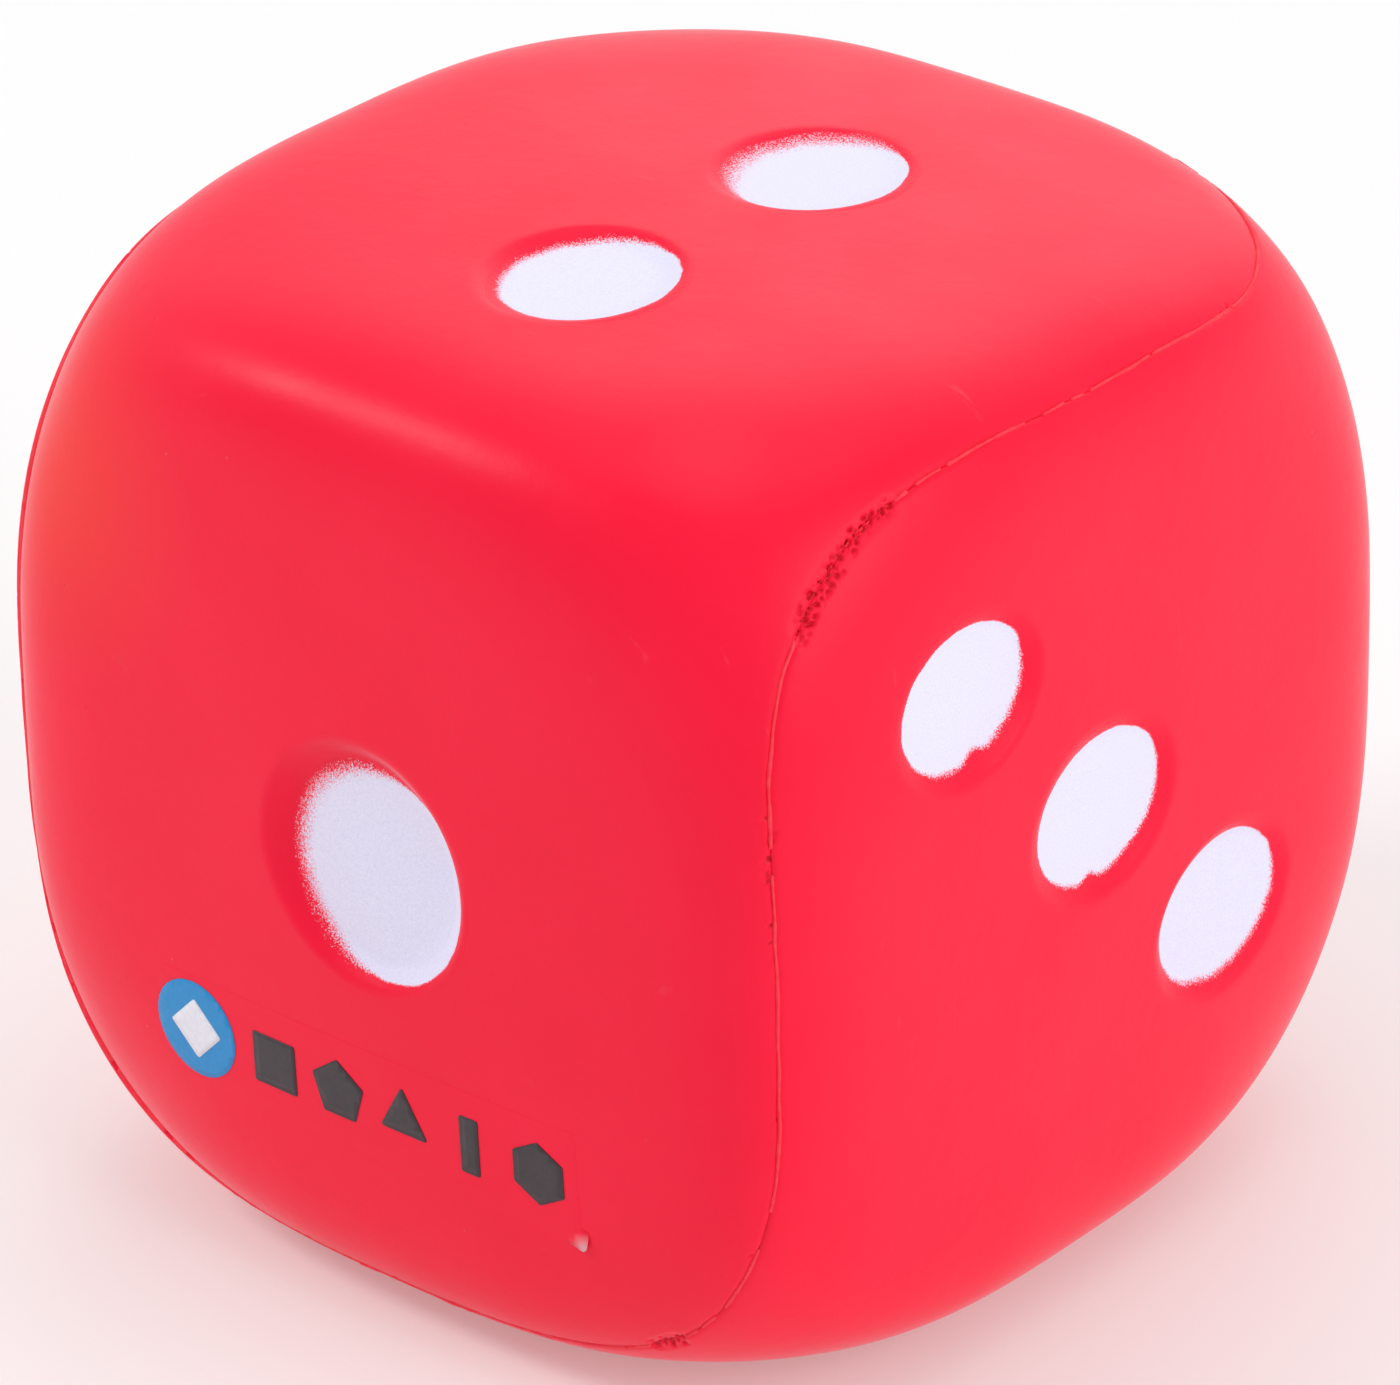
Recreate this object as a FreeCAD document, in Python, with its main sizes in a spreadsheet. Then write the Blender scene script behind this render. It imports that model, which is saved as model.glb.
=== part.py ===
import FreeCAD, Part
import os

# A giant foam die, moulded in soft polyurethane foam, in millimetres.
# It stands on the face with five pips: +Z goes up through the face with two pips, -Y out of the face with
# one pip and +X out of the face with three. The origin is the middle of the underside.
#
# The foam is one lump with a dense skin. The two halves of the skin formed against the two halves of the mould,
# and they meet at the parting line, which runs once round the faces one and two. A pip is a shallow round recess
# whose flat floor carries a disc of white paint. A printed decal lies on the face with one pip.

# Driving dimensions, in millimetres: alias, value and meaning.
DIMENSIONS = [
    ("edge", 160.0, "distance between opposite faces"),
    ("dome_radius", 800.0, "each face is a very slight dome of this radius"),
    ("dome_crown", 0.8, "height by which the dome would pass the flat in the middle of a face"),
    ("edge_round", 20.0, "radius of the twelve rounded edges"),
    ("corner_reach", 112.5, "the eight corners are blunted at this distance from the centre"),
    ("skin", 2.0, "thickness of the dense skin"),
    ("flash_height", 0.5, "how far the parting-line flash stands proud"),
    ("flash_width", 0.8, "width of the parting-line flash"),
    ("recess_depth", 2.5, "depth of a pip's recess"),
    ("recess_slope", 3.6, "how much wider a recess is at its rim than at its floor"),
    ("one_floor", 16.6, "floor radius of the single large pip"),
    ("small_floor", 13.3, "floor radius of every other pip"),
    ("paint", 0.3, "thickness of the paint on a pip's floor"),
    ("paint_margin", 0.3, "bare ring between the paint and the foot of the recess wall"),
    ("pair_apart", 25.2, "distance of the two pips from the middle of their face"),
    ("diagonal_apart", 31.0, "distance across and along of a corner pip on the faces three, four and five"),
    ("six_across", 27.0, "distance of the two rows of the six from the middle"),
    ("six_along", 36.0, "distance of the outer pips of the six from the middle"),
    ("film", 0.2, "thickness of the decal"),
    ("decal_length", 86.0, "length of the decal's clear film"),
    ("decal_width", 21.0, "width of the decal's clear film"),
    ("decal_drop", 38.5, "distance of the decal's middle below the middle of the face"),
    ("emblem_shift", 34.0, "distance of the emblem from the middle of the face"),
    ("emblem_radius", 8.2, "radius of the emblem's disc"),
    ("diamond_side", 7.4, "side of the emblem's diamond"),
    ("mark_size", 9.6, "height of a mark in the decal's row"),
    ("mark_pitch", 13.0, "distance from one mark of the row to the next"),
    ("first_mark", 17.5, "distance of the row's first mark from the middle of the face"),
    ("bar_width", 3.6, "width of the row's upright bar"),
]

X_AXIS = FreeCAD.Vector(1, 0, 0)
Y_AXIS = FreeCAD.Vector(0, 1, 0)
Z_AXIS = FreeCAD.Vector(0, 0, 1)

# The six faces: the direction that each looks in, and the directions of u and v on it.
FACES = {
    "one": {"out": (0, -1, 0), "u": (1, 0, 0), "v": (0, 0, 1)},
    "two": {"out": (0, 0, 1), "u": (1, 0, 0), "v": (0, 1, 0)},
    "three": {"out": (1, 0, 0), "u": (0, 1, 0), "v": (0, 0, 1)},
    "four": {"out": (-1, 0, 0), "u": (0, -1, 0), "v": (0, 0, 1)},
    "five": {"out": (0, 0, -1), "u": (-1, 0, 0), "v": (0, 1, 0)},
    "six": {"out": (0, 1, 0), "u": (-1, 0, 0), "v": (0, 0, 1)},
}

# The pips of each face: multiples of the two spacings, across and along.
DIAGONAL = ("Dims.diagonal_apart", "Dims.diagonal_apart")
LAYOUTS = {
    "one": {"floor": "Dims.one_floor", "spacing": DIAGONAL, "places": [(0, 0)]},
    "two": {"floor": "Dims.small_floor", "spacing": ("0", "Dims.pair_apart"), "places": [(0, -1), (0, 1)]},
    "three": {"floor": "Dims.small_floor", "spacing": DIAGONAL, "places": [(-1, 1), (0, 0), (1, -1)]},
    "four": {
        "floor": "Dims.small_floor",
        "spacing": DIAGONAL,
        "places": [(-1, 1), (1, 1), (-1, -1), (1, -1)],
    },
    "five": {
        "floor": "Dims.small_floor",
        "spacing": DIAGONAL,
        "places": [(-1, 1), (1, 1), (0, 0), (-1, -1), (1, -1)],
    },
    "six": {
        "floor": "Dims.small_floor",
        "spacing": ("Dims.six_across", "Dims.six_along"),
        "places": [(-1, 1), (-1, 0), (-1, -1), (1, 1), (1, 0), (1, -1)],
    },
}

# The sides of the marks in the decal's row that are regular polygons.
SIDES = {"triangle": 3, "pentagon": 5, "hexagon": 6}

doc = FreeCAD.newDocument("foam_die")
sub_parts = []


def make_sheet():
    """The spreadsheet that holds the driving dimensions."""
    sheet = doc.addObject("Spreadsheet::Sheet", "Dims")
    for row, (alias, value, meaning) in enumerate(DIMENSIONS, start=1):
        sheet.set(f"A{row}", alias)
        sheet.set(f"B{row}", str(value))
        sheet.set(f"C{row}", meaning)
        sheet.setAlias(f"B{row}", alias)
    doc.recompute()


def place(piece, offset, turn=FreeCAD.Rotation()):
    """Turns a piece and puts it at an offset, three expressions, from the middle of the die."""
    piece.Placement = FreeCAD.Placement(FreeCAD.Vector(), turn)
    x, y, z = offset
    piece.setExpression("Placement.Base.x", x)
    piece.setExpression("Placement.Base.y", y)
    piece.setExpression("Placement.Base.z", f"Dims.edge / 2 + {z}")


def primitive(kind, name, **sizes):
    """A Part primitive whose sizes are expressions."""
    piece = doc.addObject(f"Part::{kind}", name)
    for size, expression in sizes.items():
        piece.setExpression(size, expression)
    return piece


def cut(name, base, tool):
    piece = doc.addObject("Part::Cut", name)
    piece.Base = base
    piece.Tool = tool
    return piece


def joined(kind, name, pieces):
    """A MultiFuse or a MultiCommon of several pieces."""
    piece = doc.addObject(f"Part::{kind}", name)
    piece.Shapes = pieces
    return piece


def keep(piece, label):
    """Marks a piece as a finished sub-part. Its label names its file."""
    piece.Label = label
    sub_parts.append(piece)
    return piece


def along(direction, amount):
    """The three expressions of a vector: a direction times an amount."""
    return tuple(f"{part:.9f} * ({amount})" for part in direction)


def added(*vectors):
    """The sum of several vectors of expressions."""
    return tuple(" + ".join(parts) for parts in zip(*vectors))


def rounded_die(name, grow):
    """The plain rounded die, without pips, grown on every side by an expression."""
    half = f"(Dims.edge / 2 + {grow})"
    block = primitive("Box", name + "_block", Length=f"2 * {half}", Width=f"2 * {half}", Height=f"2 * {half}")
    place(block, (f"-{half}", f"-{half}", f"-{half}"))
    solids = [block]
    for face, ways in FACES.items():
        dome = primitive("Sphere", f"{name}_dome_{face}", Radius=f"Dims.dome_radius + {grow}")
        place(dome, along(ways["out"], "Dims.edge / 2 + Dims.dome_crown - Dims.dome_radius"))
        solids.append(dome)
    domed = joined("MultiCommon", name + "_domed", solids)
    doc.recompute()

    rounding = doc.addObject("Part::Fillet", name + "_rounded")
    rounding.Base = domed
    size = float(domed.evalExpression(f"Dims.edge_round + {grow}"))
    long_edges = [i for i, edge in enumerate(domed.Shape.Edges, start=1) if is_die_edge(edge)]
    rounding.Edges = [(i, size, size) for i in long_edges]

    corners = primitive("Sphere", name + "_corners", Radius=f"Dims.corner_reach + {grow}")
    place(corners, ("0", "0", "0"))
    return joined("MultiCommon", name, [rounding, corners])


def is_die_edge(edge):
    """Whether an edge is one of the die's twelve, and not the rim of the flat in a face."""
    middle = edge.valueAt((edge.FirstParameter + edge.LastParameter) / 2)
    half = doc.Dims.edge / 2
    from_centre = sorted(abs(part) for part in (middle.x, middle.y, middle.z - half))
    near_a_face = 0.8 * half
    return from_centre[1] > near_a_face


def half_space(name, normal, shift):
    """Everything on one side of a plane through the centre, moved along its normal by an expression."""
    reach = "2 * Dims.edge"
    block = primitive("Box", name, Length=f"2 * {reach}", Width=f"2 * {reach}", Height=reach)
    direction = FreeCAD.Vector(*normal).normalize()
    turn = FreeCAD.Rotation(Z_AXIS, direction)
    corner = turn.multVec(FreeCAD.Vector(-1, -1, 0))
    place(block, added(along(direction, shift), along(corner, reach)), turn)
    return block


def front_top_space(name, grow):
    """The space nearest to the faces one and two, grown by an expression: the front half of the mould."""
    above = half_space(name + "_above", (0, -1, 1), f"-({grow})")
    sides = []
    for side, x in (("right", 1), ("left", -1)):
        beyond_one = half_space(f"{name}_{side}_of_one", (x, 1, 0), grow)
        beyond_two = half_space(f"{name}_{side}_of_two", (x, 0, -1), grow)
        sides.append(joined("MultiCommon", f"{name}_{side}", [beyond_one, beyond_two]))
    return cut(name, above, joined("MultiFuse", name + "_sides", sides))


def pip_centre(face, place_on_face, level):
    """The middle of a pip, at a level above the centre of the die."""
    ways = FACES[face]
    across, up = LAYOUTS[face]["spacing"]
    return added(
        along(ways["out"], level),
        along(ways["u"], f"{place_on_face[0]} * {across}"),
        along(ways["v"], f"{place_on_face[1]} * {up}"),
    )


def outward(face):
    return FreeCAD.Rotation(Z_AXIS, FreeCAD.Vector(*FACES[face]["out"]))


def recess(name, face, place_on_face, grow):
    """The tool that cuts one pip's recess: a cone that widens outwards, grown by an expression."""
    floor = f"({LAYOUTS[face]['floor']} + {grow})"
    height = f"(2 * Dims.recess_depth + {grow})"
    tool = primitive(
        "Cone",
        name,
        Radius1=floor,
        Radius2=f"{floor} + {height} * Dims.recess_slope / Dims.recess_depth",
        Height=height,
    )
    place(tool, pip_centre(face, place_on_face, f"Dims.edge / 2 - Dims.recess_depth - {grow}"), outward(face))
    return tool


def recesses(name, grow):
    """The recesses of all twenty-one pips."""
    tools = []
    for face, layout in LAYOUTS.items():
        for number, spot in enumerate(layout["places"], start=1):
            tools.append(recess(f"{name}_{face}_{number}", face, spot, grow))
    return joined("MultiFuse", name, tools)


def paint_discs():
    """The white paint on the floor of each recess."""
    for face, layout in LAYOUTS.items():
        for number, spot in enumerate(layout["places"], start=1):
            radius = f"{layout['floor']} - Dims.paint_margin"
            disc = primitive("Cylinder", f"paint_{face}_{number}", Radius=radius, Height="Dims.paint")
            place(disc, pip_centre(face, spot, "Dims.edge / 2 - Dims.recess_depth"), outward(face))
            keep(disc, f"pip_{face}_{number}")


def on_face_one(piece, across, turn=0.0, length="0", width="0"):
    """Puts a prism through the skin of face one at the decal's height, centred on its length and width."""
    to_face = FreeCAD.Rotation(X_AXIS, 90) * FreeCAD.Rotation(Z_AXIS, turn)
    middle = (across, "-Dims.edge / 4", "-Dims.decal_drop")
    to_side = along(to_face.multVec(X_AXIS), f"-({length}) / 2")
    to_foot = along(to_face.multVec(Y_AXIS), f"-({width}) / 2")
    place(piece, added(middle, to_side, to_foot), to_face)


def centred_box(name, length, width, across, turn=0.0):
    """A block through the skin of face one, centred at a distance from the middle of the face."""
    block = primitive("Box", name, Length=length, Width=width, Height="Dims.edge / 2")
    on_face_one(block, across, turn, length, width)
    return block


def mark_tool(name, number):
    """The prism of one mark in the decal's row, by its number from the left."""
    across = f"{number} * Dims.mark_pitch - Dims.first_mark"
    size = "Dims.mark_size"
    if name == "square":
        return centred_box(name, f"0.9 * {size}", f"0.9 * {size}", across)
    if name == "bar":
        return centred_box(name, "Dims.bar_width", size, across)
    prism = primitive("Prism", name, Circumradius=f"0.56 * {size}", Height="Dims.edge / 2")
    prism.Polygon = SIDES[name]
    on_face_one(prism, across, 90.0)
    return prism


def decal(skin_surface):
    """The decal on face one: a clear film with the emblem and a row of five marks printed into it."""
    layer = cut("decal_layer", rounded_die("decal_level", "Dims.film"), skin_surface)
    emblem = primitive("Cylinder", "emblem", Radius="Dims.emblem_radius", Height="Dims.edge / 2")
    on_face_one(emblem, "-Dims.emblem_shift")
    diamond = centred_box("diamond", "Dims.diamond_side", "Dims.diamond_side", "-Dims.emblem_shift", 45.0)
    disc = cut("emblem_disc", emblem, diamond)
    tools = {"emblem_disc": disc, "emblem_diamond": diamond}
    for number, name in enumerate(("square", "pentagon", "triangle", "bar", "hexagon")):
        tools["mark_" + name] = mark_tool(name, number)
    for name, tool in tools.items():
        keep(joined("MultiCommon", "print_" + name, [layer, tool]), "decal_" + name)
    sheet = centred_box("film_outline", "Dims.decal_length", "Dims.decal_width", "0")
    blank = joined("MultiCommon", "film_blank", [layer, sheet])
    keep(cut("film", blank, joined("MultiFuse", "film_holes", list(tools.values()))), "decal_film")


def build():
    make_sheet()
    surface = rounded_die("surface", "0")
    body = cut("body", surface, recesses("recesses", "0"))
    core_blank = rounded_die("core_blank", "-Dims.skin")
    core = keep(cut("core", core_blank, recesses("core_recesses", "Dims.skin")), "foam_core")
    skin = cut("skin_shell", body, core)
    mould_half = front_top_space("mould_half", "0")
    keep(joined("MultiCommon", "front_skin", [skin, mould_half]), "skin_front_top")
    keep(cut("back_skin", skin, mould_half), "skin_back_bottom")

    proud_layer = cut("proud_layer", rounded_die("flash_level", "Dims.flash_height"), surface)
    wide = front_top_space("flash_outside", "Dims.flash_width / 2")
    narrow = front_top_space("flash_inside", "-Dims.flash_width / 2")
    keep(joined("MultiCommon", "flash", [proud_layer, cut("flash_slab", wide, narrow)]), "parting_line_flash")

    paint_discs()
    decal(surface)
    doc.recompute()


def check_and_write():
    """Stops on any failed object. Then writes one STEP file for each sub-part."""
    for thing in doc.Objects:
        if "Invalid" in thing.State or "Error" in thing.State:
            raise RuntimeError(f"{thing.Name} failed: {thing.State}")
    for piece in sub_parts:
        shape = piece.Shape
        if shape.isNull() or not shape.isValid():
            raise RuntimeError(f"{piece.Label} has no valid shape")
        if len(shape.Solids) != 1:
            raise RuntimeError(f"{piece.Label} has {len(shape.Solids)} solids, not one")
    os.makedirs("parts", exist_ok=True)
    for piece in sub_parts:
        piece.Shape.exportStep(f"parts/{piece.Label}.step")
        print(f"{piece.Label}: {piece.Shape.Volume:.1f} mm3, {piece.Shape.BoundBox}")


build()
check_and_write()
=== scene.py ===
import math

import bpy
import numpy as np
from mathutils import Matrix, Vector, geometry


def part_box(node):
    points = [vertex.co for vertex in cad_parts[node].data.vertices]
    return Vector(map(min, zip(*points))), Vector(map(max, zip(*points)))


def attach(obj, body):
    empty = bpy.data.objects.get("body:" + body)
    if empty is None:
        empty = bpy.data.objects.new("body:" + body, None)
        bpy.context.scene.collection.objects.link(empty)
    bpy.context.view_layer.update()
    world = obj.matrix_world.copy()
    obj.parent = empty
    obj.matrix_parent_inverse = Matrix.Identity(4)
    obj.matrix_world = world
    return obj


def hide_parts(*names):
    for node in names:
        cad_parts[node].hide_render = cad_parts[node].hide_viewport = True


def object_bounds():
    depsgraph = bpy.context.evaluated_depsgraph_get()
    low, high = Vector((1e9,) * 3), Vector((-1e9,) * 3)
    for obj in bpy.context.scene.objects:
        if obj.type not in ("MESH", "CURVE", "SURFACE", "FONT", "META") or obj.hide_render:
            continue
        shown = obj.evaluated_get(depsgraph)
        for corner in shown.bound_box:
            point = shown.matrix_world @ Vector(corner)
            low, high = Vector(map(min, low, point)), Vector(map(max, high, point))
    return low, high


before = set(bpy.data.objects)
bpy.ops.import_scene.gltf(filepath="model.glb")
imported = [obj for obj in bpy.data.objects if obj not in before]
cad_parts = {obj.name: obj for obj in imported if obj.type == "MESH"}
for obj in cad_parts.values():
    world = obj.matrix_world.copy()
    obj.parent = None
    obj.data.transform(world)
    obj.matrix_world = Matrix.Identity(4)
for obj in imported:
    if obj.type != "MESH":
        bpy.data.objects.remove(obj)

# A giant foam die: two moulded skin halves with a parting line between them, a cellular core, twenty-one
# pips of sprayed white paint in shallow recesses, and a printed decal on the face with one pip.
#
# Shapes are worked out in millimetres from the middle of the die and written to the meshes in metres.

CAD_LOW, CAD_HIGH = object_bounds()
METRES = 0.001
EDGE = (CAD_HIGH.z - CAD_LOW.z) / METRES
MIDDLE = np.array([0.0, 0.0, (CAD_LOW.z + CAD_HIGH.z) / 2])

# The rounded cube: a superellipsoid with blunter edges and corners and a slight dome on each face.
DOME = 1.41
DOME_SPREAD = 41.0
FORM_HALF = (EDGE / 2 - DOME) * np.array([1.0, 0.9934, 0.9996])
SQUARENESS = 9.268
EDGE_BLUNTING = 0.111
CORNER_BLUNTING = 3.871
UNEVENNESS = 0.10

# The faces: the direction that each looks in, and the directions of u and v on it.
FACES = {
    "one": ((0, -1, 0), (1, 0, 0), (0, 0, 1)),
    "two": ((0, 0, 1), (1, 0, 0), (0, 1, 0)),
    "three": ((1, 0, 0), (0, 1, 0), (0, 0, 1)),
    "four": ((-1, 0, 0), (0, -1, 0), (0, 0, 1)),
    "five": ((0, 0, -1), (-1, 0, 0), (0, 1, 0)),
    "six": ((0, 1, 0), (-1, 0, 0), (0, 0, 1)),
}
FACES = {name: np.array(ways, float) for name, ways in FACES.items()}

# Recesses and their paint. Each visible face has its whole layout moved by its shift.
DEPTH = 2.4
WALL_RUN = 4.6
MARGIN = -1.0
SMALL = 13.2
DIAGONAL = 31.0
SIX_ACROSS = 27.0
SIX_ALONG = 36.0
PAIR_APART = 24.5
PAIR_SLANT = 1.5
ROW = 30.0
SHIFTS = {"one": (5.0, 0.5), "two": (7.0, -4.5), "three": (-3.0, 5.5)}
ONE_SIZE = (17.0, 16.5)
TWO_SIZE = (14.0, 13.0)
FIRST_SIZE = (13.5, 11.0)
THREE_SIZE = (14.5, 12.0)

# The surface grid of a face, in parts of its half width: fine where it curves.
GRID_MIDDLE = 0.024
GRID_EDGE = 0.0142
GRID_INSIDE = 0.045
GRID_CORE = 0.034
GRID_GAP = 0.0045
RING_OFFSETS = (-2.4, -1.2, -0.5, -0.1, 0.2, 0.5, 0.9, 1.3, 1.8, 2.3, 2.8, 3.3, 3.8, 4.3, 4.9, 5.7)
RING_POINTS = 104

# The parting line.
SEAM_SHIFT = 3.7
SEAM_TOP_ROUNDING = 38.0
SEAM_CORNER_ROUNDING = 45.0
SEAM_STEP = 0.32
TORN_STEP = 0.22
TEARS = ((np.array([72.9, -52.5, 63.0]), 14.5), (np.array([52.5, -71.8, -64.9]), 4.5))


# ----------------------------------------------------- numbers


def smoothstep(low, high, value):
    share = np.clip((value - low) / (high - low), 0.0, 1.0)
    return share * share * (3.0 - 2.0 * share)


def lattice(ix, iy, iz, seed):
    """A repeatable number from 0 to 1 for each corner of a cubic lattice."""
    mixed = (ix * 73856093) ^ (iy * 19349663) ^ (iz * 83492791) ^ (seed * 2654435)
    mixed = mixed & 0x7FFFFFFF
    mixed = (mixed ^ (mixed >> 13)) * 1274126177 & 0x7FFFFFFF
    mixed = (mixed ^ (mixed >> 16)) * 668265263 & 0x7FFFFFFF
    return (mixed & 0xFFFFFF) / float(0xFFFFFF)


def noise(points, size, seed):
    """Smooth value noise from -1 to 1, whose lumps are about `size` millimetres wide."""
    scaled = points / size + 1000.0
    base = np.floor(scaled).astype(np.int64)
    part = scaled - base
    part = part * part * (3.0 - 2.0 * part)
    total = np.zeros(len(points))
    for corner in range(8):
        step = np.array([corner & 1, corner >> 1 & 1, corner >> 2 & 1])
        weight = np.prod(np.where(step == 1, part, 1.0 - part), axis=1)
        cell = base + step
        total += weight * lattice(cell[:, 0], cell[:, 1], cell[:, 2], seed)
    return 2.0 * total - 1.0


def cell_distance(points, size, seed):
    """Distance to the nearest of a scatter of points, one in each cube of `size` millimetres, in cubes."""
    scaled = points / size + 1000.0
    base = np.floor(scaled).astype(np.int64)
    nearest = np.full(len(points), 9.0)
    for step in np.ndindex(3, 3, 3):
        cell = base + np.array(step) - 1
        x, y, z = cell.T
        spot = np.stack([lattice(x, y, z, seed + axis) for axis in range(3)], axis=1)
        nearest = np.minimum(nearest, np.linalg.norm(cell + spot - scaled, axis=1))
    return nearest


# ------------------------------------------------- die surface


def plain_surface(directions):
    """Points of the rounded cube in the given directions, and the outward normals there."""
    largest = np.abs(directions / FORM_HALF).max(axis=1, keepdims=True)
    share = np.abs(directions) / FORM_HALF / largest
    whole = share**SQUARENESS
    half = share ** (SQUARENESS / 2)
    third = share ** (SQUARENESS / 3)
    x, y, z = half.T
    edges = EDGE_BLUNTING * (x * y + y * z + z * x)
    total = whole.sum(axis=1) + edges + CORNER_BLUNTING * third.prod(axis=1)
    points = directions / largest / total[:, None] ** (1 / SQUARENESS)

    safe = np.maximum(share, 1e-9)
    slope = whole / safe
    slope += EDGE_BLUNTING / 2 * half / safe * (half.sum(axis=1, keepdims=True) - half)
    slope += CORNER_BLUNTING / 3 * third.prod(axis=1, keepdims=True) / safe
    normals = np.sign(directions) * slope / FORM_HALF
    normals /= np.linalg.norm(normals, axis=1, keepdims=True)

    squares = points**2
    others = squares.sum(axis=1, keepdims=True) - squares
    lift = DOME * (np.abs(points) / FORM_HALF) ** 4 * np.exp(-others / DOME_SPREAD**2)
    points = points + np.sign(points) * lift
    return points, normals


def uneven(points, normals):
    """Adds the slow unevenness that moulded foam has."""
    swell = noise(points, 27.0, 3) + 0.4 * noise(points, 11.0, 5)
    return points + normals * (UNEVENNESS * swell)[:, None]


def oval_radius(angle, size, turn):
    """The radius of an oval with half sizes `size`, turned by `turn` degrees, at an angle in radians."""
    long_half, short_half = size
    local = angle - math.radians(turn)
    return long_half * short_half / np.hypot(short_half * np.cos(local), long_half * np.sin(local))


def pip(at, size, turn=0.0, lean=(0.0, 0.0), soft_side=0.0, softness=0.8, seed=0, notches=(), depth=DEPTH,
        margin=MARGIN):
    """One pip. `at` and `size` are its paint's middle and half sizes and `turn` its slant. `lean` moves the
    recess from the paint. The paint's edge is soft on the side at angle `soft_side`, and `notches` are bites
    out of it. The recess is `depth` deep and its floor is wider than the paint by `margin`."""
    return dict(at=at, size=size, turn=turn, lean=lean, soft_side=soft_side, softness=softness, seed=seed,
                notches=notches, depth=depth, margin=margin)


def hidden_pips(places, seed):
    """Pips of a face that no picture shows: nearly round, each a little different."""
    made = []
    for number, (u, v) in enumerate(places):
        draw = [lattice(number, seed, k, 77) for k in range(4)]
        size = (SMALL + 0.6 * draw[0], SMALL - 0.9 * draw[1])
        at = (u + 1.6 * draw[2] - 0.8, v + 1.6 * draw[3] - 0.8)
        made.append(pip(at, size, 360 * draw[0], soft_side=360 * draw[2], softness=1.0, seed=seed + number))
    return made


def shifted(face, across, up):
    """A place in the regular layout of a face, moved by as much as the face's whole layout is."""
    return across + SHIFTS[face][0], up + SHIFTS[face][1]


PIPS = {
    "one": [pip(shifted("one", 0, 0), ONE_SIZE, 90, (-2.2, 1.6), 165, 2.6, 11, depth=3.2)],
    "two": [
        pip(shifted("two", side * PAIR_SLANT, side * PAIR_APART), TWO_SIZE, 90, (-1.5, -0.2), 165, softness,
            seed, (), 1.6, -2.0)
        for side, softness, seed in ((-1, 1.2, 21), (1, 3.0, 22))
    ],
    "three": [
        pip(shifted("three", -ROW, ROW), FIRST_SIZE, 5, (0.4, -0.6), 290, 0.8, 31, ((285, 1.3),), 1.7, -1.5),
        pip(shifted("three", 0, 0), THREE_SIZE, 5, (0.4, -0.6), 290, 0.8, 32, ((262, 1.2),), 1.7, -1.5),
        pip(shifted("three", ROW, -ROW), THREE_SIZE, 0, (0.4, -0.6), 290, 1.1, 33, (), 1.7, -1.5),
    ],
    "four": hidden_pips([(u, v) for v in (DIAGONAL, -DIAGONAL) for u in (-DIAGONAL, DIAGONAL)], 41),
    "five": hidden_pips(
        [(x * DIAGONAL, y * DIAGONAL) for x, y in ((-1, 1), (1, 1), (0, 0), (-1, -1), (1, -1))], 51
    ),
    "six": hidden_pips([(u, v) for u in (-SIX_ACROSS, SIX_ACROSS) for v in (SIX_ALONG, 0, -SIX_ALONG)], 61),
}


def face_point(face, across, up):
    """Points of the plain surface at (across, up) millimetres on a face, and their normals."""
    out, u, v = FACES[face]
    level = np.full(len(across), EDGE / 2)
    for _ in range(6):
        directions = out + (across / level)[:, None] * u + (up / level)[:, None] * v
        points, normals = plain_surface(directions)
        level = points @ out
    return points, normals


def recess_place(spot):
    """The middle of a recess on its face."""
    return spot["at"][0] + spot["lean"][0], spot["at"][1] + spot["lean"][1]


def floor_radius(spot, angle):
    """The radius of a recess's floor."""
    size = (spot["size"][0] + spot["margin"], spot["size"][1] + spot["margin"])
    return oval_radius(angle, size, spot["turn"])


def floor_distance(spot, across, up):
    """How far points lie outside the foot of a recess's wall."""
    middle = recess_place(spot)
    x = across - middle[0]
    y = up - middle[1]
    return np.hypot(x, y) - floor_radius(spot, np.arctan2(y, x))


def press_recesses(points):
    """Presses the pips' recesses into the surface."""
    pressed = points.copy()
    for face, spots in PIPS.items():
        out, u, v = FACES[face]
        facing = points @ out > EDGE * 0.4
        for spot in spots:
            middle = recess_place(spot)
            near = facing & (np.hypot(points @ u - middle[0], points @ v - middle[1]) < 30)
            if not near.any():
                continue
            across = points[near] @ u
            up = points[near] @ v
            top = face_point(face, np.array([middle[0]]), np.array([middle[1]]))[0][0] @ out
            gap = floor_distance(spot, across, up)
            gap += 0.12 * noise(points[near], 7.0, spot["seed"])
            hollow = 1.0 - np.clip(gap / WALL_RUN, 0.0, 1.0)
            weight = hollow * hollow * (3.0 - 2.0 * hollow)
            floor = top - spot["depth"] + 0.10 * noise(points[near], 9.0, spot["seed"] + 1)
            level = points[near] @ out
            pressed[near] += ((floor - level) * weight)[:, None] * out
    return pressed


# ------------------------------------------------ parting line


def smooth_max(a, b, rounding):
    overlap = np.maximum(rounding - np.abs(a - b), 0.0) / rounding
    return np.maximum(a, b) + overlap * overlap * rounding / 4


def seam_distance(points):
    """How far points lie from the parting line: above 0 on the half with the faces one and two."""
    x, y, z = points.T
    fade = smoothstep(-58.0, -18.0, z) * smoothstep(-72.0, -40.0, -y)
    shift = SEAM_SHIFT * fade + 0.9 * noise(points, 24.0, 8) + 0.25 * noise(points, 5.0, 9)
    beside = smooth_max(-y, z, SEAM_TOP_ROUNDING) + shift - np.abs(x)
    above = z - y + 0.9 * noise(points, 30.0, 10)
    return -smooth_max(-beside, -above, SEAM_CORNER_ROUNDING) / math.sqrt(2)


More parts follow.
